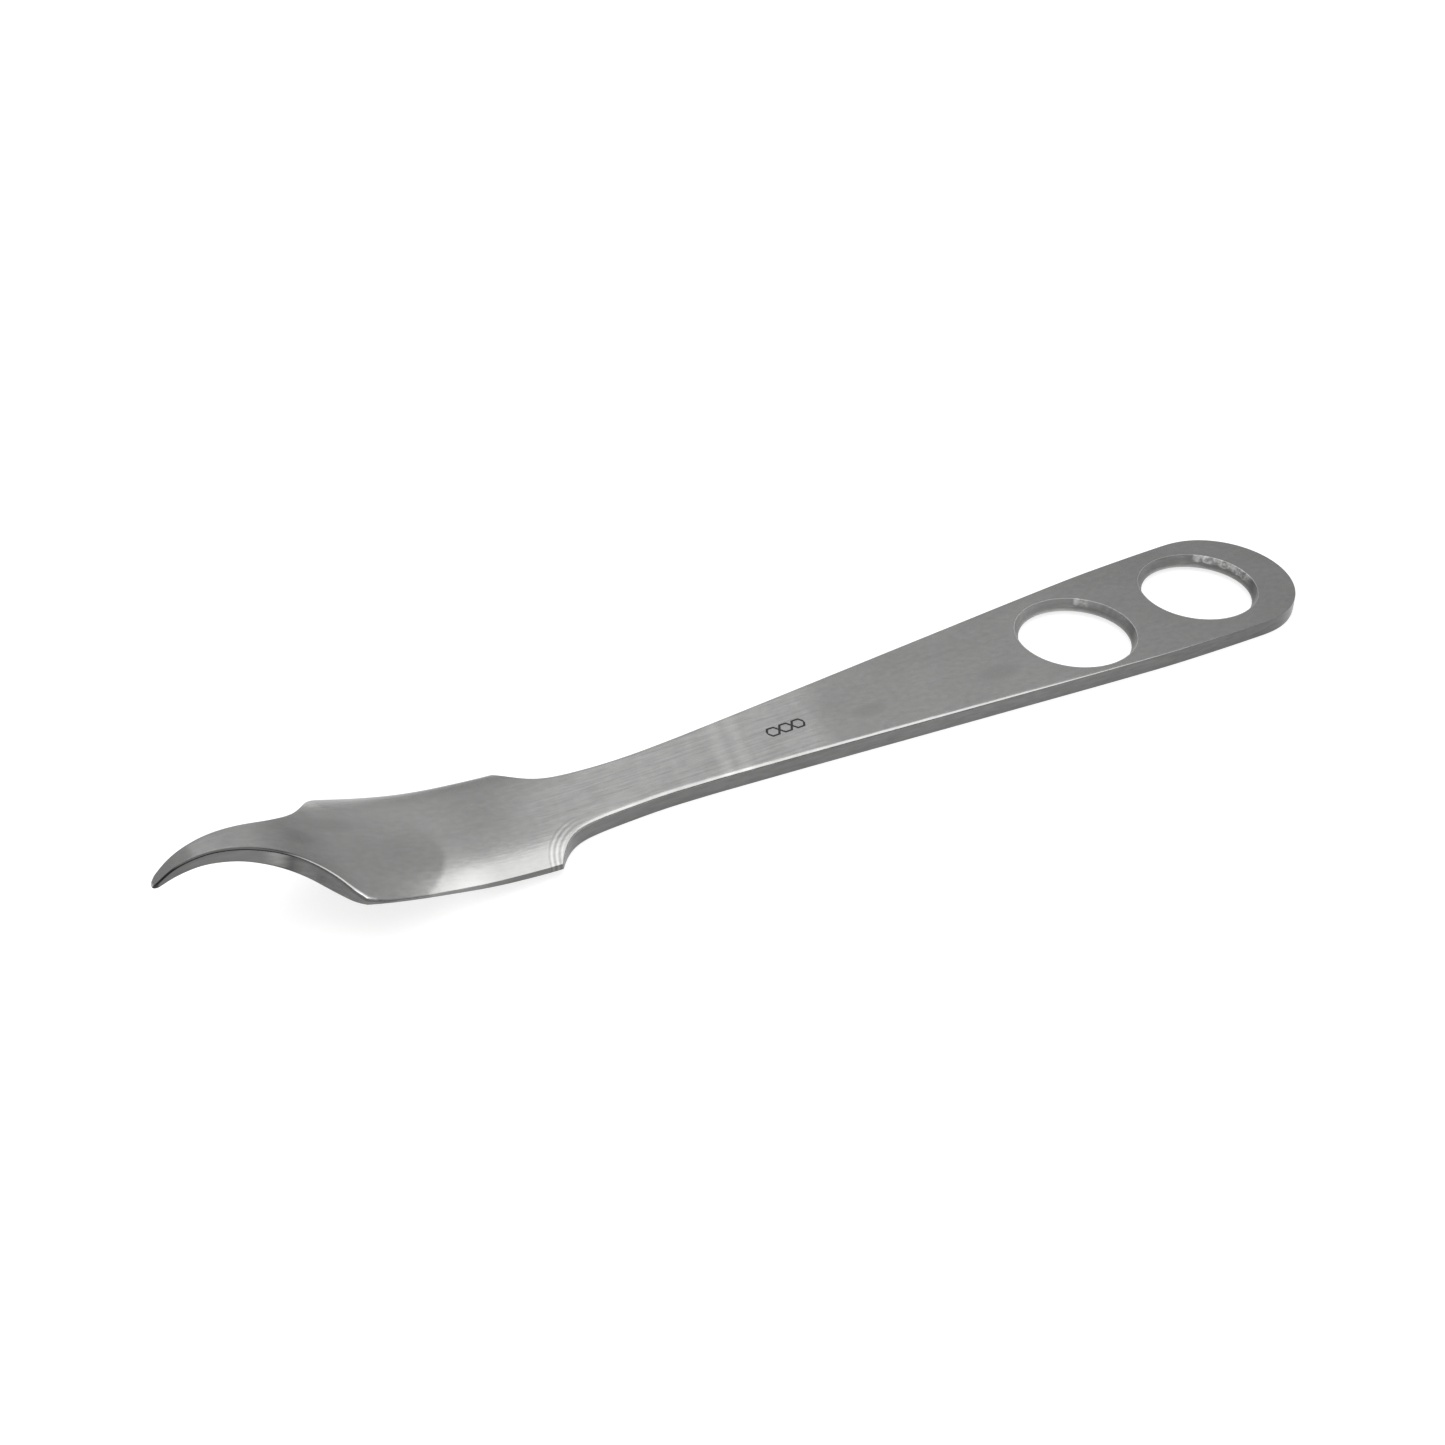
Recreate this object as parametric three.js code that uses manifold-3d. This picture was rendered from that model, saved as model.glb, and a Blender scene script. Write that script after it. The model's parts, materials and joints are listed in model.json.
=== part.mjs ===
// A one-piece steel hive tool: a flat tapering handle with two finger holes, a narrow neck,
// a crowned blade that rises along its length, and a narrow claw that curls over at its end.
//
// Millimetres, +Z up. +X runs to the round end of the handle, and the claw is at -X.
// The handle's flat underside lies on z = 0, and the origin is midway along the tool.

import * as THREE from 'three';
import { mergeVertices } from 'three/addons/utils/BufferGeometryUtils.js';
import Module from 'manifold-3d';

// Driving dimensions.
const LENGTH = 248.4;
const THICKNESS = 3.5;
const HANDLE_HALF_WIDTH = 16.9;
const END_REACH = 16.1;
const HOLE_RADIUS = 12.5;
const HOLE_UNDER_RADIUS = 13.1;
const WAIST_RADIUS = 11.7;
const WAIST_HEIGHT = 1.1;
const HOLES = [
  { x: 69.5, y: -0.9 },
  { x: 103, y: 0.4 },
];
const EDGE_CHAMFER = 0.5;
const END_CHAMFER = 0.3;
const BLADE_EDGE_CHAMFER = 0.12;
const BLADE_HALF_WIDTH = 15;
const CROWN_TOP = 1.5;
const CROWN_UNDER = 1;
const CROWN_POWER = 4;
const FRONT_SLANT = 1.1;
const TIP_ROUND = 1.2;
const STEEL = { color: 0x8c8c8a, roughness: 0.42, metalness: 1 };

// Where one stretch of the tool ends and the next begins.
const TIP_X = -LENGTH / 2;
const END_X = LENGTH / 2;
const END_CENTRE_X = END_X - END_REACH;
const FRONT_X = -91.4;
const SHOULDER_X = -55.4;
const NECK_X = -38;
const HANDLE_X = -20;
const SLANT_START_X = -118;
const SLANT_END_X = -70;
const CROWN_FADE_X = -52;

// Half the width against x, and the heights of the middle of the top and of the underside.
const CLAW_WIDTH = [
  [TIP_X, 1.05], [-119, 1.8], [-114, 2.5], [-107.5, 3.65], [-102, 5.2], [-98.5, 7.1],
  [-96.5, 8.85], [-94.7, 11.1], [-93.2, 13.5], [FRONT_X, 15.3],
];
const BLADE_WIDTH = [[FRONT_X, 15.3], [-88.5, 15.7], [-82, 15.4], [-75, 15], [SHOULDER_X, 14.8]];
const NECK_WIDTH = [
  [SHOULDER_X, 14.8], [-53.3, 11.95], [-50.4, 9.4], [-47, 8], [-42, 7.3], [-31, 6.95], [HANDLE_X, 7.5],
];
const HANDLE_WIDTH = [
  [HANDLE_X, 7.5], [0, 9.15], [40, 12.65], [80, 16], [95, 16.65], [END_CENTRE_X, HANDLE_HALF_WIDTH],
];
const TOP_HEIGHT = [
  [TIP_X, 15.7], [-121, 18.35], [-117.5, 19.8], [-113, 20.3], [-107.5, 19.35], [-101, 16.75],
  [-95, 13.6], [-85, 9.65], [-73, 6.5], [-61, 4.8], [-50, 3.95], [NECK_X, THICKNESS],
];
const UNDER_HEIGHT = [
  [TIP_X, 14.9], [-121, 16.6], [-118, 17.55], [-115, 17.9], [-110, 17.15], [-105, 15.1], [-100, 12.1],
  [-96, 9.4], [-90, 7.6], [-80, 4.75], [-70, 2.4], [-60, 1], [-50, 0.3], [NECK_X, 0],
];

// Stations along the tool, as [from, to, number of steps], and places across half its width.
const STATIONS = [
  [TIP_X, TIP_X + TIP_ROUND, 4], [TIP_X + TIP_ROUND, -110, 9], [-110, -97, 7], [-97, FRONT_X, 8],
  [FRONT_X, SHOULDER_X, 16], [SHOULDER_X, -46, 8], [-46, HANDLE_X, 8], [HANDLE_X, END_CENTRE_X, 12],
];
const ACROSS = [1, 0.94, 0.82, 0.66, 0.42, 0];
const END_STEPS = 14;
const HOLE_SIDES = 72;
const MERGE_DISTANCE = 1e-4;

const { clamp, smoothstep, lerp } = THREE.MathUtils;

// A smooth curve through key points, read at x.
function through(keys) {
  const curve = new THREE.CubicInterpolant(keys.map((key) => key[0]), keys.map((key) => key[1]), 1);
  return (x) => curve.evaluate(x)[0];
}

const clawWidth = through(CLAW_WIDTH);
const bladeWidth = through(BLADE_WIDTH);
const neckWidth = through(NECK_WIDTH);
const handleWidth = through(HANDLE_WIDTH);
const topHeight = through(TOP_HEIGHT);
const underHeight = through(UNDER_HEIGHT);

// The claw's tip is rounded: everything shrinks to a point over its last stretch.
function tipShrink(x) {
  const reach = clamp((x - TIP_X) / TIP_ROUND, 0, 1);
  return Math.sqrt(1 - (1 - reach) ** 2);
}

function halfWidth(x) {
  if (x < FRONT_X) return clawWidth(x) * tipShrink(x);
  if (x < SHOULDER_X) return bladeWidth(x);
  if (x < HANDLE_X) return neckWidth(x);
  return handleWidth(x);
}

// Top and underside heights at a place x, y. The blade is crowned on both faces.
function heights(x, y) {
  const flatX = Math.min(x, NECK_X);
  const top = topHeight(flatX);
  const under = underHeight(flatX);
  const middle = (top + under) / 2;
  const half = (top - under) / 2 * tipShrink(x);
  const crown = (1 - smoothstep(x, CROWN_FADE_X, NECK_X)) * Math.abs(y / BLADE_HALF_WIDTH) ** CROWN_POWER;
  return { top: middle + half - CROWN_TOP * crown, under: middle - half + CROWN_UNDER * crown };
}

function chamferAt(x) {
  const handle = lerp(EDGE_CHAMFER, END_CHAMFER, smoothstep(x, HOLES[0].x, END_CENTRE_X));
  return lerp(BLADE_EDGE_CHAMFER, handle, smoothstep(x, SHOULDER_X, NECK_X)) * tipShrink(x);
}

// The blade's front edge is ground a little slanting, so one corner sits nearer the claw.
// This is how far along the tool a place is moved by it.
function slant(x, y) {
  const near = smoothstep(x, SLANT_START_X, FRONT_X) * (1 - smoothstep(x, FRONT_X, SLANT_END_X));
  return FRONT_SLANT * near * y / BLADE_HALF_WIDTH;
}

// A point on one face, raised by lift.
function facePoint(x, y, face, lift) {
  const slantedX = x + slant(x, y);
  return new THREE.Vector3(slantedX, y, heights(slantedX, y)[face] + lift);
}

// One closed ring of points round the tool. Its edge points are at x, edgeY, and the rest lie
// inset from them by the chamfer, along the outline's normal.
function ring(x, edgeY, normalX, normalY) {
  const chamfer = chamferAt(x);
  const innerX = x - chamfer * normalX;
  const innerY = edgeY - chamfer * normalY;
  const half = (side, face, lift) => [
    facePoint(x, side * edgeY, face, lift),
    ...ACROSS.map((part) => facePoint(innerX, side * innerY * part, face, 0)),
  ];
  const [nearTop, farTop] = [-1, 1].map((side) => half(side, 'top', -chamfer));
  const [nearUnder, farUnder] = [-1, 1].map((side) => half(side, 'under', chamfer));
  return [
    ...nearTop, ...farTop.reverse().slice(1),
    ...farUnder, ...nearUnder.reverse().slice(1),
  ];
}

function rings() {
  const all = [];
  for (const [from, to, steps] of STATIONS) {
    for (let step = 0; step < steps; step += 1) {
      const x = lerp(from, to, step / steps);
      all.push(ring(x, halfWidth(x), 0, 1));
    }
  }
  for (let step = 0; step <= END_STEPS; step += 1) {
    const angle = Math.PI / 2 * step / END_STEPS;
    const sin = Math.sin(angle);
    const cos = step === END_STEPS ? 0 : Math.cos(angle);
    const normal = new THREE.Vector2(sin / END_REACH, cos / HANDLE_HALF_WIDTH).normalize();
    all.push(ring(END_CENTRE_X + END_REACH * sin, HANDLE_HALF_WIDTH * cos, normal.x, normal.y));
  }
  return all;
}

// A skin over successive rings. The first ring is a point and the last one is an edge.
function skin(loops) {
  const count = loops[0].length;
  const index = [];
  for (let i = 0; i + 1 < loops.length; i += 1) {
    for (let j = 0; j < count; j += 1) {
      const a = i * count + j;
      const b = i * count + (j + 1) % count;
      index.push(a, a + count, b + count, a, b + count, b);
    }
  }
  const geometry = new THREE.BufferGeometry().setFromPoints(loops.flat());
  geometry.setIndex(index);
  return geometry;
}

const wasm = await Module();
wasm.setup();

function toSolid(geometry) {
  geometry.deleteAttribute('normal');
  geometry.deleteAttribute('uv');
  const merged = mergeVertices(geometry, MERGE_DISTANCE);
  const triangles = [];
  const corners = merged.index.array;
  for (let i = 0; i < corners.length; i += 3) {
    const [a, b, c] = corners.slice(i, i + 3);
    if (a !== b && b !== c && c !== a) triangles.push(a, b, c);
  }
  return new wasm.Manifold(new wasm.Mesh({
    numProp: 3,
    vertProperties: new Float32Array(merged.attributes.position.array),
    triVerts: new Uint32Array(triangles),
  }));
}

function toGeometry(solid) {
  const mesh = solid.getMesh();
  const geometry = new THREE.BufferGeometry();
  geometry.setAttribute('position', new THREE.BufferAttribute(mesh.vertProperties, 3));
  geometry.setIndex(new THREE.BufferAttribute(mesh.triVerts, 1));
  geometry.computeVertexNormals();
  return geometry;
}

// The cutter for one finger hole. The wall leans in from both faces to a waist, so the cutter
// is two cones, each carried a little past its face.
function holeCutter({ x, y }) {
  const over = 1;
  const carried = (rim, height) => rim + over * (rim - WAIST_RADIUS) / height;
  const profile = [
    [0, -over], [carried(HOLE_UNDER_RADIUS, WAIST_HEIGHT), -over], [WAIST_RADIUS, WAIST_HEIGHT],
    [carried(HOLE_RADIUS, THICKNESS - WAIST_HEIGHT), THICKNESS + over], [0, THICKNESS + over],
  ].map(([radius, height]) => new THREE.Vector2(radius, height));
  return toSolid(new THREE.LatheGeometry(profile, HOLE_SIDES).rotateX(Math.PI / 2).translate(x, y, 0));
}

function toolBody() {
  let solid = toSolid(skin(rings()));
  for (const hole of HOLES) solid = solid.subtract(holeCutter(hole));
  const mesh = new THREE.Mesh(toGeometry(solid), new THREE.MeshStandardMaterial(STEEL));
  mesh.name = 'tool_body';
  return mesh;
}

const hiveTool = new THREE.Group();
hiveTool.add(toolBody());
export default hiveTool;
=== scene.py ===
"""A one-piece steel hive tool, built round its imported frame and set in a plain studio."""

import json
import math

import bmesh
import bpy
from mathutils import Matrix, Vector


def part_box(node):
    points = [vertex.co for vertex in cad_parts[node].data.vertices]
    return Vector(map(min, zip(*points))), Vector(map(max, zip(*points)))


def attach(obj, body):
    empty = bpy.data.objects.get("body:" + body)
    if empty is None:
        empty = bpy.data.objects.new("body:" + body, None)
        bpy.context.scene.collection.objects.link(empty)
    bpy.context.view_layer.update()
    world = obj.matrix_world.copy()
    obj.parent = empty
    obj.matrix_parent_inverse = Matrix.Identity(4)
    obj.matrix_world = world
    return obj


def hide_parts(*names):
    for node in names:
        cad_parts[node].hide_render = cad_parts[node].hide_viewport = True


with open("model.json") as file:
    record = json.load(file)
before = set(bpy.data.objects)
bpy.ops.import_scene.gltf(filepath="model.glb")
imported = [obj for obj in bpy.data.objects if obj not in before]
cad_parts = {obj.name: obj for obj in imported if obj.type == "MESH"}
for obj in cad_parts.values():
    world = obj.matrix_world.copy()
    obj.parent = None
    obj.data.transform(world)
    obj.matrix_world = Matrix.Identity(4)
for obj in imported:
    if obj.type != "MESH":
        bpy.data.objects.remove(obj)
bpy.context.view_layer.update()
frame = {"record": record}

bl_info = {
    "name": "Steel hive tool",
    "version": (1, 0, 0),
    "blender": (4, 5, 0),
    "location": "3D View > Sidebar > Hive tool",
    "description": "Builds a steel hive tool with two finger holes, and its studio",
    "category": "Object",
}

# The frame's own sizes. Shapes are worked out in millimetres and scaled once, at the end.
MM = 0.001
BODY = "tool_body"
LOW, HIGH = (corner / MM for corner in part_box(BODY))
TIP_X = LOW.x
END_X = HIGH.x
HANDLE_HALF_WIDTH = HIGH.y
MOUNTS = {mount["name"]: mount for mount in frame["record"]["mounts"]}
THICKNESS = MOUNTS["handle_top"]["pos_m"][2] / MM


def hole_centre(opening):
    """The middle of a finger hole, from the box that the record keeps open."""
    low, high = opening["box_m"]
    return Vector(((low[0] + high[0]) / 2 / MM, (low[1] + high[1]) / 2 / MM))


HOLES = [hole_centre(opening) for opening in frame["record"]["physics"]["openings"]]

# Where one stretch of the tool ends and the next begins.
END_REACH = 16.1
END_CENTRE_X = END_X - END_REACH
FRONT_X = -91.4
SHOULDER_X = -55.4
NECK_X = -38.0
HANDLE_X = -20.0
SLANT_START_X = -118.0
SLANT_END_X = -70.0
CROWN_FADE_X = -52.0

# How sharply the blade's crown falls towards its edges, and the half width that it is made for.
CROWN_POWER = 4
BLADE_HALF_WIDTH = 15.0

# The claw's tip is rounded over its last stretch. At the very end, this is the square of the
# share of its size that is left.
TIP_ROUND = 1.2
TIP_LEFT = 0.12

# Half the width against x, then the heights of the middle of the top and of the underside.
CLAW_WIDTH = [
    (TIP_X, 1.05), (-119, 1.8), (-114, 2.5), (-107.5, 3.65), (-102, 5.2), (-98.5, 7.1),
    (-96.5, 8.85), (-94.7, 11.1), (-93.2, 13.5), (FRONT_X, 15.3),
]
BLADE_WIDTH = [(FRONT_X, 15.3), (-88.5, 15.7), (-82, 15.4), (-75, 15.0), (SHOULDER_X, 14.8)]
NECK_WIDTH = [
    (SHOULDER_X, 14.8), (-53.3, 11.95), (-50.4, 9.4), (-47, 8.0), (-42, 7.3), (-31, 6.95),
    (HANDLE_X, 7.5),
]
HANDLE_WIDTH = [
    (HANDLE_X, 7.5), (0, 9.15), (40, 12.65), (80, 16.0), (95, 16.65),
    (END_CENTRE_X, HANDLE_HALF_WIDTH),
]
TOP_HEIGHT = [
    (TIP_X, 15.7), (-121, 18.35), (-117.5, 19.8), (-113, 20.3), (-107.5, 19.35), (-101, 16.75),
    (-95, 13.6), (-85, 9.65), (-73, 6.5), (-61, 4.8), (-50, 3.95), (NECK_X, THICKNESS),
]
UNDER_HEIGHT = [
    (TIP_X, 14.9), (-121, 16.6), (-118, 17.55), (-115, 17.9), (-110, 17.15), (-105, 15.1),
    (-100, 12.1), (-96, 9.4), (-90, 7.6), (-80, 4.75), (-70, 2.4), (-60, 1.0), (-50, 0.3), (NECK_X, 0.0),
]

# How far the near edge of the top is rubbed down, against x. Its other edges are left sharper.
NEAR_EDGE = [
    (TIP_X, 0.1), (-122, 0.25), (-117, 0.45), (-103, 0.5), (-95, 0.5), (-92.3, 1.2), (-89.5, 0.4),
    (-84, 0.16), (-60, 0.18), (-51, 0.3), (-42, 0.68), (0, 0.56), (40, 0.42), (82, 0.17), (END_X, 0.1),
]

# Steps along the tool up to the finger holes, as (from, to, number), and places across it.
HOLE_ZONE_X = HOLES[0].x - 17
STEPS_ALONG = [
    (TIP_X, TIP_X + TIP_ROUND, 4), (TIP_X + TIP_ROUND, -110, 8), (-110, -97, 9), (-97, FRONT_X, 7),
    (FRONT_X, SHOULDER_X, 15), (SHOULDER_X, -46, 8), (-46, HANDLE_X, 9), (HANDLE_X, HOLE_ZONE_X, 20),
]
ACROSS = (-1, -0.82, -0.56, -0.28, 0, 0.28, 0.56, 0.82, 1)

# The strip of faces along each edge: its width, and the most of a half width that it takes.
BORDER_STRIP = 1.25
BORDER_SHARE = 0.45

# Edges that turn by more than this are rubbed down.
SHARP_ANGLE = math.radians(35)

# The finger holes' upper rims. Whatever is less than the margin outside one belongs to the hole.
HOLE_RADIUS = 12.5
HOLE_MARGIN = 0.3

# The facet that is filed in each finger hole, by its turns round the rim. It gets rough a
# little after it starts, and a notch lies just past its end.
FACET_START = math.radians(-25)
ROUGH_START = math.radians(-20)
FACET_END = math.radians(55)
NOTCH = math.radians(9)

# Backwards from each facet's end, where the painted highlight on its bright stretch starts to fade and
# where it is gone.
FACET_FADES = ((2, 3.5), (14, 18))

# The lengthwise brushing: how far it leans, where it fades in and out along the tool, and the
# middles of the bands across it.
BRUSH_LEAN = 0.3
BRUSHED_IN = (-70, -36)
BRUSHED_OUT = (6, 11)
CROSS_BANDS = (-14.6, -10.6)

# The stretch where the claw widens into the blade, over which the painted edge shade changes, and the
# blade's near front corner, where a highlight is painted on its bevel.
CLAW_ROOT = (-103, -98)
NEAR_CORNER = (-92.6, -14.9)

# The colour where the steel is at its darkest.
DARKEST = (0.03, 0.03, 0.03)

# Faint smudges on the top, each with its middle and its reach along and across the tool.
SMUDGES = [((17.4, -3.1), (5, 2.5)), ((47.3, -4.9), (6, 3)), ((-98, 0.5), (3, 3)), ((-91, 5), (5, 3))]

# Cloudy patterns in the steel: how many clouds there are in each millimetre along x, y and z,
# and how finely they are broken up.
STREAKS = ((0.09, 1.7, 1.7), 4)
SCRATCHES = ((0.4, 9, 9), 2)
CLOUDS = ((0.05, 0.1, 0.1), 2)
GRAIN = ((0.6, 0.9, 0.9), 4)
CUT_LINES = ((0.25, 0.6, 1.5), 3)
FILE_MARKS = ((1.1, 1.1, 1.1), 4)
WHEEL_MARKS = ((0.3, 1, 1), 1)

# The softboxes, each with its place, the point that it faces and its size, in metres. The low
# one has this share of the back one's light.
SOFTBOXES = (
    ("ceiling", (-0.06, -0.12, 1.0), (-0.06, -0.12, 0), (1.69, 1.75)),
    ("back", (0.26, 1.19, 1.2), (0.26, 0, 1.2), (1.06, 0.5)),
    ("low back", (0.26, 1.19, 0.6), (0.26, 0, 0.6), (1.06, 0.5)),
)
LOW_SHARE = 0.4

# The direction in which the room is brightest.
BRIGHT_SIDE = (0.3, 0.6, 0.7)

# The floor, the point that the camera looks at and the nearest that it sees, in metres. The
# width of its film is in millimetres.
FLOOR_SIZE = 6
FLOOR_ROUGHNESS = 0.9
CAMERA_AIM = Vector((-0.0074, 0.0113, 0))
FILM_WIDTH = 36
NEAREST_SEEN = 0.01


def mix(start, end, share):
    """The number that lies a share of the way from start to end."""
    return start + (end - start) * share


def ease(x, start, end):
    """0 up to start and 1 past end, with a smooth rise between them."""
    share = min(1, max(0, (x - start) / (end - start)))
    return share * share * (3 - 2 * share)


def through(keys):
    """A smooth curve through key points, as a function of x."""
    xs, ys = zip(*keys)
    last = len(keys) - 1

    def slope(i):
        before, after = max(0, i - 1), min(last, i + 1)
        return (ys[after] - ys[before]) / (xs[after] - xs[before])

    def height(x):
        i = max(k for k in range(last) if k == 0 or xs[k] <= x)
        span = xs[i + 1] - xs[i]
        t = (x - xs[i]) / span
        rise = (1 - t) ** 2 * (1 + 2 * t) * ys[i] + t * t * (3 - 2 * t) * ys[i + 1]
        return rise + span * t * (1 - t) * ((1 - t) * slope(i) - t * slope(i + 1))

    return height


claw_width, blade_width, neck_width, handle_width, top_height, under_height, near_edge = map(
    through, (CLAW_WIDTH, BLADE_WIDTH, NECK_WIDTH, HANDLE_WIDTH, TOP_HEIGHT, UNDER_HEIGHT, NEAR_EDGE)
)


def tip_shrink(x):
    """The claw's tip is rounded: this is the share of its size that is left at x."""
    return math.sqrt(mix(TIP_LEFT, 1, 1 - (1 - min(1, (x - TIP_X) / TIP_ROUND)) ** 2))


def half_width(x):
    """Half of the tool's width at x."""
    if x < FRONT_X:
        return claw_width(x) * tip_shrink(x)
    if x < SHOULDER_X:
        return blade_width(x)
    if x < HANDLE_X:
        return neck_width(x)
    return handle_width(x)


def crown(x, y):
    """How far the blade's face falls away at x, y, as a share of its fall at the edge."""
    return (1 - ease(x, CROWN_FADE_X, NECK_X)) * abs(y / BLADE_HALF_WIDTH) ** CROWN_POWER


def face_height(x, y, on_top, sizes):
    """The height of the top or of the underside at x, y."""
    top, under = top_height(min(x, NECK_X)), under_height(min(x, NECK_X))
    middle = (top + under) / 2
    half = (top - under) / 2 * tip_shrink(x)
    if on_top:
        return middle + half - sizes.crown_top * crown(x, y)
    return middle - half + sizes.crown_under * crown(x, y)


def slant(x, y, sizes):
    """How far the slanting grind of the blade's front moves a place along the tool."""
    near_front = ease(x, SLANT_START_X, FRONT_X) * (1 - ease(x, FRONT_X, SLANT_END_X))
    return sizes.front_slant * near_front * y / BLADE_HALF_WIDTH


class ToolSizes(bpy.types.PropertyGroup):
    """Sizes of the steel body, in millimetres, and the turns of the filed facet."""

    hole_radius: bpy.props.FloatProperty(
        name="Hole radius", description="Radius of each finger hole at its upper rim",
        default=HOLE_RADIUS)
    lean_radius: bpy.props.FloatProperty(
        name="Leaning radius", description="Radius a third of the way down a finger hole",
        default=12.15)
    waist_radius: bpy.props.FloatProperty(
        name="Waist radius", description="Radius where a finger hole is narrowest", default=11.2)
    under_radius: bpy.props.FloatProperty(
        name="Lower radius", description="Radius of each finger hole at its lower rim", default=13.1)
    edge_round: bpy.props.FloatProperty(
        name="Edge break", description="How far the plain edges are rubbed down", default=0.2)
    rim_round: bpy.props.FloatProperty(
        name="Rim break", description="How far the finger holes' rims are rubbed down", default=0.05)
    facet_radius: bpy.props.FloatProperty(
        name="Facet radius", description="Radius at the foot of the filed facet in each hole",
        default=11.75)
    notch_radius: bpy.props.FloatProperty(
        name="Notch radius", description="Radius of the hollow where the filed facet stops",
        default=12.4)
    filed_from: bpy.props.FloatProperty(
        name="Facet start", description="Where the filed facet starts round the rim",
        default=FACET_START, subtype="ANGLE")
    filed_to: bpy.props.FloatProperty(
        name="Facet end", description="Where the filed facet ends round the rim",
        default=FACET_END, subtype="ANGLE")
    crown_top: bpy.props.FloatProperty(
        name="Crown", description="Fall of the blade's top face towards its edges", default=1.5)
    crown_under: bpy.props.FloatProperty(
        name="Crown beneath", description="Rise of the blade's underside towards its edges",
        default=1.0)
    front_slant: bpy.props.FloatProperty(
        name="Front slant", description="Slant of the blade's front, at each corner", default=1.1)


class SteelFinish(bpy.types.PropertyGroup):
    """The colour, gloss and wear of the steel, and the painted shade on its cut walls."""

    tint: bpy.props.FloatVectorProperty(
        name="Tint", description="Colour of the brushed steel", subtype="COLOR",
        default=(0.9, 0.9, 0.89), min=0, max=1)
    gloss: bpy.props.FloatProperty(
        name="Roughness", description="Roughness of the brushed faces", default=0.2, min=0, max=1)
    # Painted shade: how far the cut walls' colour is darkened.
    painted_wall_shade_share: bpy.props.FloatProperty(
        name="Dark walls", description="How much darker the cut walls are than the faces",
        default=0.69, min=0, max=1)
    smudging: bpy.props.FloatProperty(
        name="Smudges", description="How dark the smudges on the top are", default=0.09, min=0, max=1)


class StudioSettings(bpy.types.PropertyGroup):
    """The floor, lights and camera."""

    floor_colour: bpy.props.FloatVectorProperty(
        name="Floor", description="Colour of the floor", subtype="COLOR",
        default=(0.5, 0.5, 0.5), min=0, max=1)
    floor_glow: bpy.props.FloatProperty(
        name="Floor glow", description="Light that the floor gives off by itself", default=0.69)
    room_light: bpy.props.FloatProperty(
        name="Room light", description="Strength of the even light all round", default=0.5)
    ceiling_light: bpy.props.FloatProperty(
        name="Ceiling light", description="Brightness of the large softbox overhead", default=1.2)
    back_light: bpy.props.FloatProperty(
        name="Back light", description="Brightness of the softbox behind the tool", default=0.24)
    camera_turn: bpy.props.FloatProperty(
        name="Turn", description="Camera's angle round the tool", default=math.radians(-31.11),
        subtype="ANGLE")
    camera_rise: bpy.props.FloatProperty(
        name="Rise", description="Camera's angle above the floor", default=math.radians(36.57),
        subtype="ANGLE")
    camera_roll: bpy.props.FloatProperty(
        name="Roll", description="Camera's tilt about its own line of sight",
        default=math.radians(1.33), subtype="ANGLE")
    camera_distance: bpy.props.FloatProperty(
        name="Distance", description="From the camera to the point it looks at", default=0.4305,
        unit="LENGTH")
    focal_length: bpy.props.FloatProperty(
        name="Focal length", description="The camera's lens, in millimetres", default=54.8)


def stations():
    """Every x at which the sheet has a row of points, from the claw's tip to the holes."""
    rows = [mix(start, end, i / steps) for start, end, steps in STEPS_ALONG for i in range(steps)]
    return rows + [HOLE_ZONE_X]


def places_across(x):
    """Every y at which a row across the tool has a point, with a strip along each edge."""
    outer = half_width(x)
    inner = outer - min(BORDER_STRIP, outer * BORDER_SHARE)
    return [-outer, *(share * inner for share in ACROSS), outer]


def lay_long_sheet(bm):
    """The flat sheet from the claw's tip to the finger holes."""
    rows = stations()
    along, across = len(rows) - 1, len(ACROSS) + 1
    made = bmesh.ops.create_grid(bm, x_segments=along, y_segments=across, size=0.5)
    for vert in made["verts"]:
        x = rows[round((vert.co.x + 0.5) * along)]
        vert.co = (x, places_across(x)[round((vert.co.y + 0.5) * across)], 0)


def edge_stretch(start, end, steps, side):
    """Points on one side's edge, from start up to but not including end."""
    xs = [mix(start, end, i / steps) for i in range(steps)]
    return [(x, side * half_width(x)) for x in xs]


def row_across(x, going_up):
    """The points of one row across the tool, without the last."""
    row = [(x, y) for y in places_across(x)]
    return row[:-1] if going_up else row[:0:-1]


def inner_border(start, end):
    """The closed border of the square of sheet round the inner finger hole."""
    steps = len(ACROSS) + 1
    near = edge_stretch(start, end, steps, -1)
    far = edge_stretch(end, start, steps, 1)
    return near + row_across(end, True) + far + row_across(start, False)


def outer_border(start):
    """The closed border of the sheet round the outer finger hole, with the round end."""
    straight, bend = 7, 16
    near = edge_stretch(start, END_CENTRE_X, straight, -1)
    far = edge_stretch(END_CENTRE_X, start, straight, 1)
    arc = []
    for i in range(bend):
        angle = math.pi * (i / bend - 0.5)
        arc.append((END_CENTRE_X + END_REACH * math.cos(angle), HANDLE_HALF_WIDTH * math.sin(angle)))
    return near + arc + far + row_across(start, False)


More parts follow.
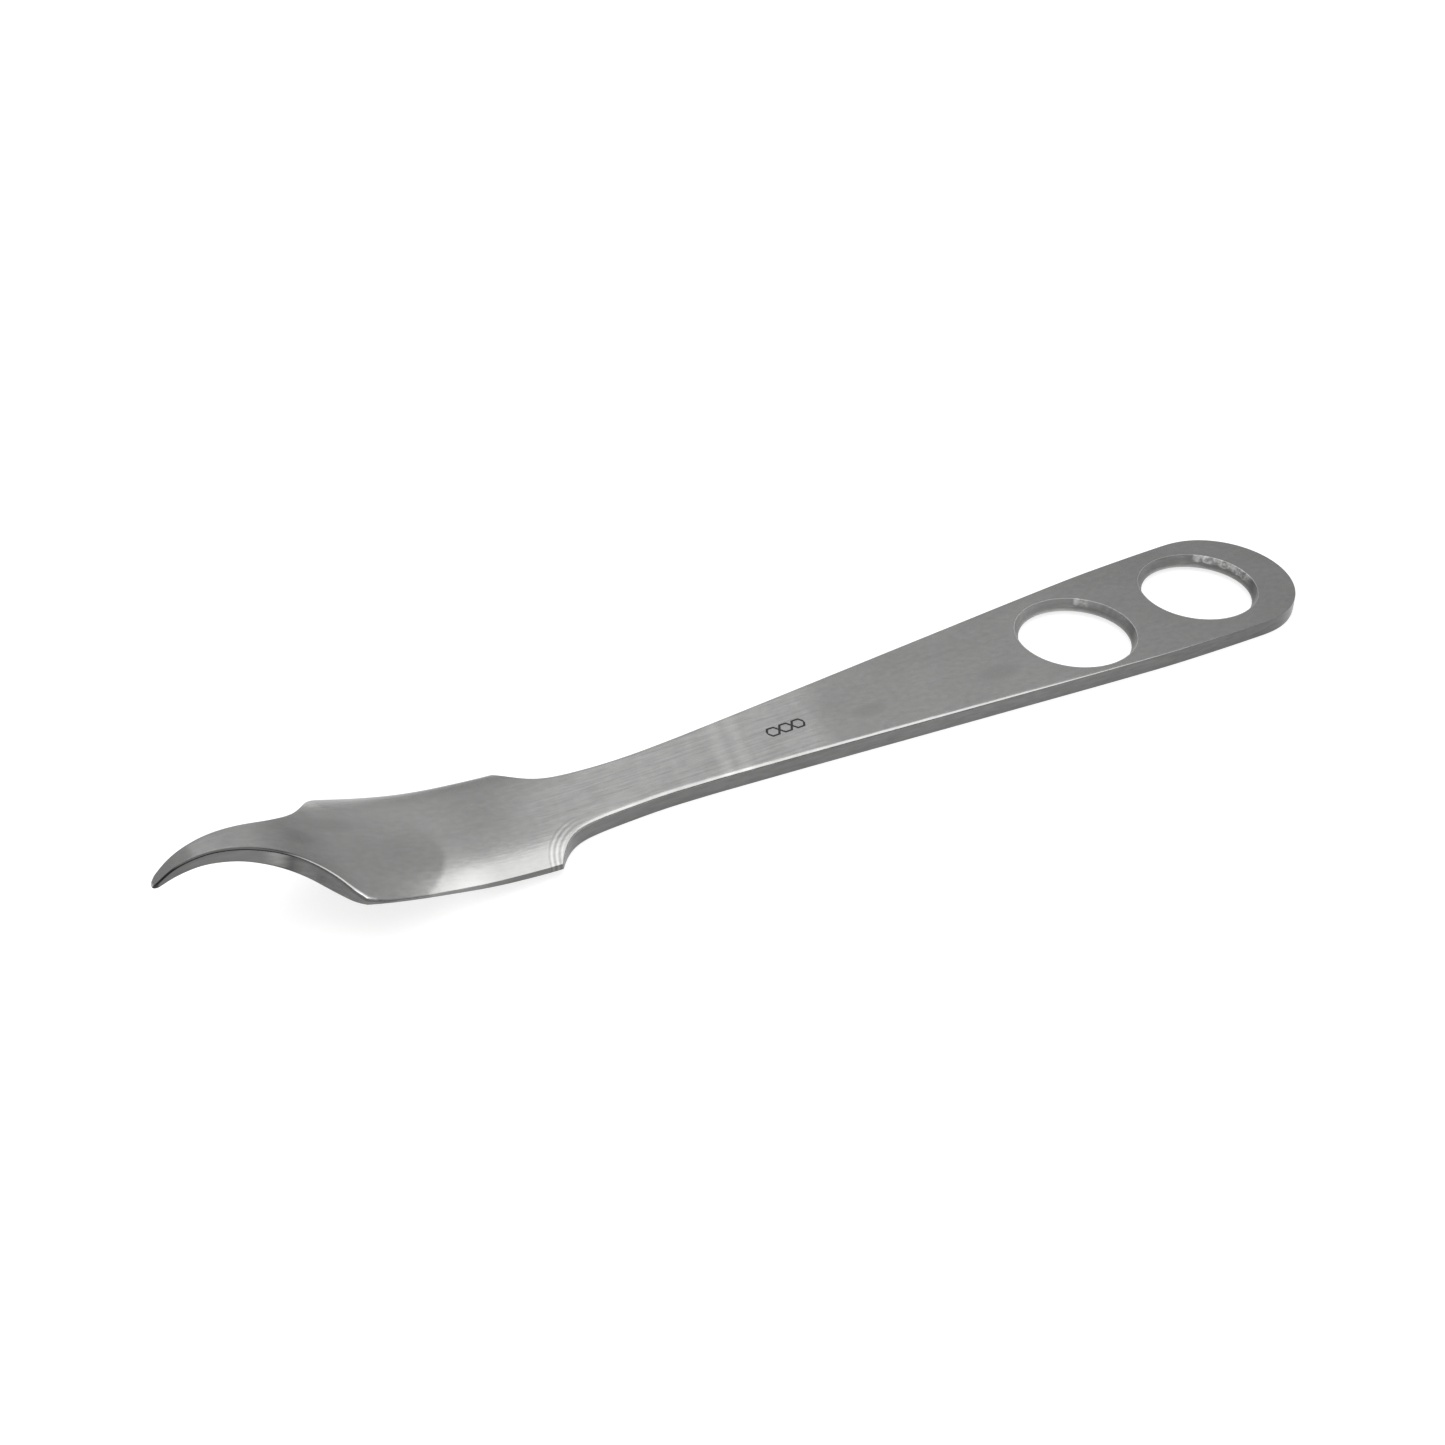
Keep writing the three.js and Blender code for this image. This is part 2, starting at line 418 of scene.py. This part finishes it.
def lay_hole_ring(bm, centre, border, radius):
    """A ring of sheet: a circle whose edges are drawn out to the border."""
    count = len(border)
    # A smoothed ring of straight edges shrinks by this share of its size.
    shrink = (4 + 2 * math.cos(2 * math.pi / count)) / 6
    circle = bmesh.ops.create_circle(bm, segments=count, radius=radius / shrink)["verts"]
    corner = Vector(border[0]) - centre
    start = math.atan2(corner.y, corner.x)
    bmesh.ops.rotate(bm, verts=circle, matrix=Matrix.Rotation(start, 3, "Z"))
    bmesh.ops.translate(bm, verts=circle, vec=centre.to_3d())
    ring = set(circle)
    rim = [edge for edge in bm.edges if ring.issuperset(edge.verts)]
    drawn = bmesh.ops.extrude_edge_only(bm, edges=rim)["geom"]
    outer = [part for part in drawn if isinstance(part, bmesh.types.BMVert)]
    for vert in outer:
        spoke = vert.co.xy - centre
        turn = (math.atan2(spoke.y, spoke.x) - start) / (2 * math.pi)
        vert.co = (*border[round(turn * count) % count], 0)
    spokes = [edge for vert in outer for edge in vert.link_edges if edge.other_vert(vert) in ring]
    bmesh.ops.subdivide_edges(bm, edges=spokes, cuts=1)


def thicken(bm, sizes):
    """Turns the flat sheet into the solid tool, with its two faces at their true heights."""
    under = set(bm.verts)
    bmesh.ops.extrude_face_region(bm, geom=bm.faces[:], use_keep_orig=True)
    for vert in bm.verts:
        x = vert.co.x + slant(vert.co.x, vert.co.y, sizes)
        vert.co = (x, vert.co.y, face_height(x, vert.co.y, vert not in under, sizes))
    bmesh.ops.recalc_face_normals(bm, faces=bm.faces[:])


def wall_radius(level, angle, sizes):
    """A finger hole's radius at one of its four levels, counted from the upper rim down."""
    if level == 1 and sizes.filed_from < angle < sizes.filed_to:
        return sizes.facet_radius
    if level == 1 and sizes.filed_to < angle < sizes.filed_to + NOTCH:
        return sizes.notch_radius
    return (sizes.hole_radius, sizes.lean_radius, sizes.waist_radius, sizes.under_radius)[level]


def from_hole(place):
    """The line from the nearest finger hole's middle to a place."""
    return min((place.xy - hole for hole in HOLES), key=lambda line: line.length)


def on_hole_wall(place, sizes):
    """Whether a place lies on the wall of a finger hole, inside its upper rim."""
    return from_hole(place).length < sizes.hole_radius + HOLE_MARGIN


def shape_hole_walls(bm, sizes):
    """Leans each finger hole's wall in to a waist, with a filed facet on part of it."""
    posts = [edge for edge in bm.edges if all(on_hole_wall(vert.co, sizes) for vert in edge.verts)
             and abs(edge.verts[0].co.z - edge.verts[1].co.z) > THICKNESS / 2]
    bmesh.ops.subdivide_edges(bm, edges=posts, cuts=2, use_grid_fill=True)
    for vert in bm.verts:
        if on_hole_wall(vert.co, sizes):
            line = from_hole(vert.co)
            level = round(3 * (1 - vert.co.z / THICKNESS))
            share = wall_radius(level, math.atan2(line.y, line.x), sizes) / sizes.hole_radius
            vert.co.xy += line * (share - 1)


def edge_break(place, sizes):
    """How far the edge at a place is rubbed down."""
    if place.x < TIP_X + TIP_ROUND / 4:
        return 0
    flat_x = min(place.x, NECK_X)
    on_top = place.z > (top_height(flat_x) + under_height(flat_x)) / 2
    if on_hole_wall(place, sizes):
        return sizes.rim_round
    return near_edge(place.x) if on_top and place.y < 0 else sizes.edge_round


def mark_edges(bm, sizes):
    """Says how far each sharp edge is rubbed down, in millimetres."""
    weight = bm.edges.layers.float.new("bevel_weight_edge")
    for edge in bm.edges:
        if edge.calc_face_angle(0) > SHARP_ANGLE:
            middle = (edge.verts[0].co + edge.verts[1].co) / 2
            edge[weight] = edge_break(middle, sizes)


def finish_piece(bm, name):
    """Makes the mesh an object, at its real size, smooth and in the scene."""
    bmesh.ops.scale(bm, vec=(MM, MM, MM), verts=bm.verts[:])
    for face in bm.faces:
        face.smooth = True
    mesh = bpy.data.meshes.new(name)
    bm.to_mesh(mesh)
    bm.free()
    piece = bpy.data.objects.new(name, mesh)
    bpy.context.collection.objects.link(piece)
    return piece


class HIVE_OT_steel_body(bpy.types.Operator):
    """Make the steel body, with its finger holes, blade and claw"""

    bl_idname = "hive.steel_body"
    bl_label = "Steel body"

    def execute(self, context):
        sizes = context.scene.hive_sizes
        between = (HOLES[0].x + HOLES[1].x) / 2
        bm = bmesh.new()
        lay_long_sheet(bm)
        lay_hole_ring(bm, HOLES[0], inner_border(HOLE_ZONE_X, between), sizes.hole_radius)
        lay_hole_ring(bm, HOLES[1], outer_border(between), sizes.hole_radius)
        bmesh.ops.remove_doubles(bm, verts=bm.verts[:], dist=0.01)
        thicken(bm, sizes)
        shape_hole_walls(bm, sizes)
        mark_edges(bm, sizes)
        piece = finish_piece(bm, "brushed_body")
        rub = piece.modifiers.new("rubbed_edges", "BEVEL")
        rub.limit_method = "WEIGHT"
        rub.width = MM
        rub.use_clamp_overlap = False
        rub.segments = 2
        rub.profile = 0.5
        smooth = piece.modifiers.new("fine_surface", "SUBSURF")
        smooth.levels = smooth.render_levels = 2
        piece.data.materials.append(brushed_steel(context.scene.hive_finish))
        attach(piece, "root")
        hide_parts(BODY)
        return {"FINISHED"}


class Value:
    """A number that changes over a surface. Arithmetic on it adds Math nodes to its material."""

    def __init__(self, graph, socket):
        self.graph = graph
        self.socket = socket

    def __add__(self, other):
        return self.graph.math("ADD", self, other)

    def __sub__(self, other):
        return self.graph.math("SUBTRACT", self, other)

    def __rsub__(self, other):
        return self.graph.math("SUBTRACT", other, self)

    def __mul__(self, other):
        return self.graph.math("MULTIPLY", self, other)

    def __truediv__(self, other):
        return self.graph.math("DIVIDE", self, other)

    def __pow__(self, other):
        return self.graph.math("POWER", self, other)

    def __abs__(self):
        return self.graph.math("ABSOLUTE", self)

    __radd__ = __add__
    __rmul__ = __mul__


class Graph:
    """The nodes of a material or of the room, added one by one."""

    def __init__(self, owner):
        owner.use_nodes = True
        self.tree = owner.node_tree

    def fill(self, socket, content):
        """Links a value to a socket, or sets the socket's own number or colour."""
        if isinstance(content, Value):
            self.tree.links.new(content.socket, socket)
        else:
            socket.default_value = content

    def node(self, kind, settings, sockets, output=0):
        """Adds a node: its settings first, then the numbers or links of its sockets."""
        node = self.tree.nodes.new("ShaderNode" + kind)
        for name, setting in settings.items():
            setattr(node, name, setting)
        for name, content in sockets.items():
            self.fill(node.inputs[name], content)
        return Value(self, node.outputs[output])

    def math(self, operation, *terms):
        """One Math node, or a chain of them."""
        return self.node("Math", {"operation": operation}, dict(enumerate(terms)))

    def rise(self, value, start, end):
        """0 where the value is below start and 1 past end, with a smooth rise between them."""
        return self.node("MapRange", {"interpolation_type": "SMOOTHSTEP"}, {
            "Value": value, "From Min": start, "From Max": end})

    def fade(self, value, start, end):
        """1 where the value is below start and 0 past end, with a smooth fall between them."""
        return 1 - self.rise(value, start, end)

    def hump(self, value, centre, reach):
        """1 where the value is at the centre, smoothly down to 0 at the reach on both sides."""
        return self.fade(abs(value - centre), 0, reach)

    def parts(self, vector):
        """The x, y and z of a vector."""
        return [self.node("SeparateXYZ", {}, {0: vector}, axis) for axis in range(3)]

    def noise(self, place, scale, detail):
        """Cloudy values from 0 to 1, with so many clouds in each millimetre along x, y and z."""
        stretched = self.node("Mapping", {}, {"Vector": place, "Scale": scale})
        return self.node("TexNoise", {}, {"Vector": stretched, "Scale": 1, "Detail": detail})

    def blend(self, share, first, second):
        """A colour that lies a share of the way from the first colour to the second."""
        return self.node("Mix", {"data_type": "RGBA"}, {
            "Factor": share, 6: (*first, 1), 7: (*second, 1)}, 2)


def hexagon_row(steel, x, y):
    """A plain etched row of three small hexagons, in the middle of the tool."""
    pitch, reach, line, soft = 2.8, 1.2, 0.2, 0.08
    across = abs(steel.math("WRAP", x, pitch / 2, -pitch / 2))
    slanting = across * math.cos(math.pi / 6) + abs(y) * math.sin(math.pi / 6)
    from_middle = steel.math("MAXIMUM", slanting, abs(y))
    outline = steel.fade(abs(from_middle - reach), line, line + soft)
    return outline * steel.fade(abs(x), pitch * 1.5 - soft / 4, pitch * 1.5)


def spot(steel, x, y, centre, reach):
    """A soft spot, 1 at its centre and 0 at its reach along and across the tool."""
    far = ((x - centre[0]) / reach[0]) ** 2 + ((y - centre[1]) / reach[1]) ** 2
    return steel.fade(far, 0, 1)


def brushing_and_sheen(steel, along, y, streaks):
    """How far the lengthwise brush strokes, with the wheel's bands across them, lighten a place: the
    streaks and the bands are marks in the steel, and the even lift of the brushed stretch is painted
    sheen.
    """
    ragged, band_reach, wheel_turn = 4, 2.2, 0.12
    brushed = steel.rise(along, *BRUSHED_IN) * steel.fade(along + ragged * streaks, *BRUSHED_OUT)
    wheel_place = steel.node("CombineXYZ", {}, {0: along, 1: y * wheel_turn})
    wheel_marks = steel.noise(wheel_place, *WHEEL_MARKS)
    bands = sum(steel.hump(along, middle, band_reach) for middle in CROSS_BANDS)
    bands = bands + 1.5 * (wheel_marks - 0.5)
    return brushed * (0.05 + 0.3 * (streaks - 0.5) + 0.09 * bands)


def milled_arcs(steel, x, y):
    """The fine arcs round the near shoulder's hollow, from -1 to 1."""
    middle, radius, spacing, last_line = (-45.2, -17.6), 9.8, 0.952, 2.7
    outside = steel.math("SQRT", (x - middle[0]) ** 2 + (y - middle[1]) ** 2) - radius
    near = steel.rise(outside, 0.3, 1) * steel.fade(outside, 3, 3.6) * steel.fade(x, -53, -46)
    return near * steel.math("COSINE", (outside - last_line) * (math.tau / spacing))


def painted_light_patches(steel, x, y, worked_front):
    """How far broad areas of the top are made lighter or darker by painted light: a painted highlight by
    the blade's near edge, and painted shade on the claw, at its tip, at the blade's far corner and far
    shoulder, and towards the handle's round end.
    """
    glow = 0.22 * worked_front * steel.fade(x, -75, -66) * steel.fade(y, -13, 0)
    claw = 0.15 * steel.hump(x, -99, 8) + 0.05 * steel.fade(x, -112, -106)
    tip = 0.06 * steel.fade(x, -118.5, -116.5)
    far_corner = 0.1 * spot(steel, x, y, (-89, 14.5), (6, 4))
    far_shoulder = 0.06 * steel.hump(x, -62, 12) * steel.rise(y, -8, 0)
    round_end = 0.11 * steel.rise(x, 40, 120)
    return glow - claw - tip - far_corner - far_shoulder - round_end


def painted_edge_shade(steel, x, wall, facing_back, facing_up):
    """The share of its lightness that an edge of the top keeps under painted shade where it turns away:
    along the claw's near edge, under the blade's front edge and along the far side.
    """
    facing_near = 0 - facing_back
    claw = steel.rise(facing_near, 0.03, 0.2) * steel.fade(facing_near, 0.9, 0.97)
    claw = claw * steel.fade(x, *CLAW_ROOT)
    front = steel.rise(facing_up, 0.02, 0.2) * steel.fade(facing_up, 0.3, 0.5)
    front = front * steel.rise(x, *CLAW_ROOT) * steel.fade(x, -90, -86)
    far_side = steel.rise(facing_back, 0.06, 0.3) * (1 - wall)
    return (1 - 0.88 * claw) * (1 - 0.5 * front) * (1 - 0.3 * far_side)


def filed_hole(steel, x, y, z, grain, bright_stretch):
    """Where a finger hole's wall is, and how rough and bright its filed facet is on it: the file marks
    are in the steel, and their brightness, which fades back from the facet's end, is a painted
    highlight.
    """
    ragged, foot_height = 0.8, (2.15, 2.45)
    from_middle = steel.math("SQRT", x ** 2 + y ** 2)
    wall = steel.fade(from_middle, HOLE_RADIUS + 0.1, HOLE_RADIUS + HOLE_MARGIN)
    before_end = x * math.sin(FACET_END) - y * math.cos(FACET_END)
    past_start = y * math.cos(ROUGH_START) - x * math.sin(ROUGH_START)
    ends = steel.rise(before_end, -0.1, 0.3) * steel.rise(past_start, 0, 3)
    foot = steel.rise(z + ragged * (grain - 0.5), *foot_height)
    bright = 0.15 + 0.85 * steel.fade(before_end, *bright_stretch)
    return wall, wall * ends * foot * bright


def brushed_steel(finish):
    """Steel that is matte on the handle, brushed by hand up to it, and rougher on its cut walls, with
    painted shade, painted highlights and painted sheen in its colour.
    """
    material = bpy.data.materials.new("brushed_steel")
    steel = Graph(material)
    shader = steel.tree.nodes["Principled BSDF"]
    place = steel.node("VectorMath", {"operation": "SCALE"}, {
        0: steel.node("TexCoord", {}, {}, 3), "Scale": 1 / MM})
    x, y, z = steel.parts(place)
    along = x - BRUSH_LEAN * y
    facing_end, facing_back, facing_up = steel.parts(steel.node("NewGeometry", {}, {}, 1))
    streaks, scratches, clouds, grain, cut_lines, file_marks = (
        steel.noise(place, *pattern)
        for pattern in (STREAKS, SCRATCHES, CLOUDS, GRAIN, CUT_LINES, FILE_MARKS))

    wall = steel.fade(abs(facing_up), 0.2, 0.5)
    # The ground part of the blade starts at a line that curves across it.
    worked_front = steel.rise(x + 0.055 * (y + 4) ** 2, -75.2, -73.4)
    arcs = milled_arcs(steel, x, y)
    mark = hexagon_row(steel, x, y) * steel.rise(facing_up, 0.9, 0.95)
    smudges = sum(spot(steel, x, y, *smudge) for smudge in SMUDGES) * steel.rise(grain, 0.1, 0.8)

    hole_wall, facet = 0, 0
    for hole, bright_stretch in zip(HOLES, FACET_FADES):
        its_wall, filed = filed_hole(steel, x - hole.x, y - hole.y, z, grain, bright_stretch)
        hole_wall, facet = its_wall + hole_wall, filed + facet
    # The filed facets' file marks, lightened by a painted highlight.
    facet = facet * (1.1 * steel.rise(file_marks, 0.25, 0.75) - 0.08)
    # Painted shade on the finger holes' walls that face along the tool, most on those that face the
    # handle's end.
    end_walls = steel.rise(abs(facing_end), 0.3, 0.9) + steel.rise(facing_end, 0.4, 0.9)
    painted_hole_end_shade = 0.35 * hole_wall * end_walls
    # Painted shade on the cut walls, mostly spared on the finger holes' walls.
    painted_wall_shade = wall * (1 - 0.85 * hole_wall)
    # Painted light on the claw's wall, where it widens into the blade.
    painted_claw_wall_light = wall * steel.hump(x, -102, 4.5)
    # A painted highlight on the bevel at the blade's near front corner.
    rubbed = steel.rise(facing_up, 0.3, 0.5) * steel.fade(facing_up, 0.72, 0.85)
    corner = rubbed * spot(steel, x, y, NEAR_CORNER, (2.4, 2.6))

    # Painted sheen in the brushed stretch, and painted highlight and painted shade over broad areas of
    # the top, go into the shade here.
    shade = 0.5 + (1 - wall) * brushing_and_sheen(steel, along, y, streaks) + painted_light_patches(steel, x, y, worked_front)
    shade = shade + 0.12 * arcs + 0.12 * (clouds - 0.5) + 0.1 * (grain - 0.5)
    shade = shade + 0.3 * wall * (cut_lines - 0.5) - finish.smudging * smudges
    # Painted shade darkens the cut walls, and painted light lifts the claw's wall.
    shade = shade * (1 - finish.painted_wall_shade_share * painted_wall_shade) * (1 + 1.3 * painted_claw_wall_light)
    # Painted shade where edges of the top turn away.
    shade = shade * painted_edge_shade(steel, x, wall, facing_back, facing_up)
    # Painted shade on the finger holes' end walls; a painted highlight at the near front corner and on
    # the filed facets, whose file marks are in the steel.
    shade = shade * (1 - 0.95 * mark) * (1 - painted_hole_end_shade) + 0.6 * corner + 0.5 * facet
    steel.fill(shader.inputs["Base Color"], steel.blend(shade, DARKEST, finish.tint))
    shader.inputs["Metallic"].default_value = 1

    roughness = finish.gloss + 0.06 * worked_front * steel.fade(along, *BRUSHED_OUT)
    roughness = roughness + 0.1 * wall + 0.3 * hole_wall + 0.05 * (grain - 0.5) + 0.2 * mark
    steel.fill(shader.inputs["Roughness"], roughness)

    relief = 0.02 * streaks + 0.002 * scratches + 0.05 * clouds + 0.006 * arcs
    steel.fill(shader.inputs["Normal"], steel.node("Bump", {}, {
        "Strength": 1, "Distance": MM, "Height": relief}))
    return material


def add_floor(studio):
    """The plain floor, which gives off some light of its own."""
    bpy.ops.mesh.primitive_plane_add(size=FLOOR_SIZE)
    floor = bpy.context.object
    floor.name = "floor"
    paint = bpy.data.materials.new("floor_paint")
    paint.use_nodes = True
    shader = paint.node_tree.nodes["Principled BSDF"]
    shader.inputs["Base Color"].default_value = (*studio.floor_colour, 1)
    shader.inputs["Roughness"].default_value = FLOOR_ROUGHNESS
    shader.inputs["Emission Color"].default_value = (1, 1, 1, 1)
    shader.inputs["Emission Strength"].default_value = studio.floor_glow
    floor.data.materials.append(paint)


def room_light(brightness):
    """Even light all round, dimmer low down and on the camera's side."""
    world = bpy.data.worlds.new("room")
    room = Graph(world)
    backdrop = room.tree.nodes["Background"]
    backdrop.inputs["Color"].default_value = (1, 1, 1, 1)
    towards_bright = room.node("VectorMath", {"operation": "DOT_PRODUCT"}, {
        0: room.node("TexCoord", {}, {}), 1: BRIGHT_SIDE}, 1)
    strength = brightness * (0.2 + 0.8 * room.rise(towards_bright, -0.6, 0.75))
    room.fill(backdrop.inputs["Strength"], strength)
    return world


def add_softbox(name, place, aim, size, brightness):
    """A rectangular area light at a place, turned to face the aim."""
    light = bpy.data.lights.new(name, "AREA")
    light.shape = "RECTANGLE"
    light.size, light.size_y = size
    light.energy = brightness * math.pi * light.size * light.size_y
    holder = bpy.data.objects.new(name, light)
    holder.location = place
    line = Vector(aim) - Vector(place)
    holder.rotation_euler = line.to_track_quat("-Z", "Y").to_euler()
    bpy.context.collection.objects.link(holder)


def add_camera(context, studio):
    """The camera, looking at the middle of the tool from the near left."""
    turn = Matrix.Rotation(studio.camera_turn, 3, "Z")
    tip = Matrix.Rotation(math.pi / 2 - studio.camera_rise, 3, "X")
    roll = Matrix.Rotation(studio.camera_roll, 3, "Z")
    facing = turn @ tip @ roll
    camera = bpy.data.cameras.new("camera")
    camera.lens = studio.focal_length
    camera.sensor_width = FILM_WIDTH
    camera.clip_start = NEAREST_SEEN
    holder = bpy.data.objects.new("camera", camera)
    place = CAMERA_AIM + facing @ Vector((0, 0, studio.camera_distance))
    holder.matrix_world = Matrix.Translation(place) @ facing.to_4x4()
    context.collection.objects.link(holder)
    context.scene.camera = holder


class HIVE_OT_studio(bpy.types.Operator):
    """Make the floor, the lights and the camera"""

    bl_idname = "hive.studio"
    bl_label = "Studio"

    def execute(self, context):
        studio = context.scene.hive_studio
        add_floor(studio)
        context.scene.world = room_light(studio.room_light)
        brightness = (studio.ceiling_light, studio.back_light, studio.back_light * LOW_SHARE)
        for softbox, light in zip(SOFTBOXES, brightness):
            add_softbox(*softbox, light)
        context.scene.view_settings.view_transform = "Standard"
        add_camera(context, studio)
        return {"FINISHED"}


class HIVE_PT_panel(bpy.types.Panel):
    """Lists the tool's pieces and its studio"""

    bl_idname = "HIVE_PT_panel"
    bl_label = "Hive tool"
    bl_space_type = "VIEW_3D"
    bl_region_type = "UI"
    bl_category = "Hive tool"

    def draw(self, context):
        for operator in OPERATORS:
            self.layout.operator(operator.bl_idname)


OPERATORS = (HIVE_OT_studio, HIVE_OT_steel_body)
GROUPS = {"hive_sizes": ToolSizes, "hive_finish": SteelFinish, "hive_studio": StudioSettings}


def register():
    for kind in (*GROUPS.values(), *OPERATORS, HIVE_PT_panel):
        bpy.utils.register_class(kind)
    for name, group in GROUPS.items():
        setattr(bpy.types.Scene, name, bpy.props.PointerProperty(type=group))


def unregister():
    for name in GROUPS:
        delattr(bpy.types.Scene, name)
    for kind in (HIVE_PT_panel, *reversed(OPERATORS), *reversed(GROUPS.values())):
        bpy.utils.unregister_class(kind)


def main():
    """Builds the whole scene."""
    register()
    bpy.ops.hive.studio()
    bpy.ops.hive.steel_body()


if __name__ == "__main__":
    main()
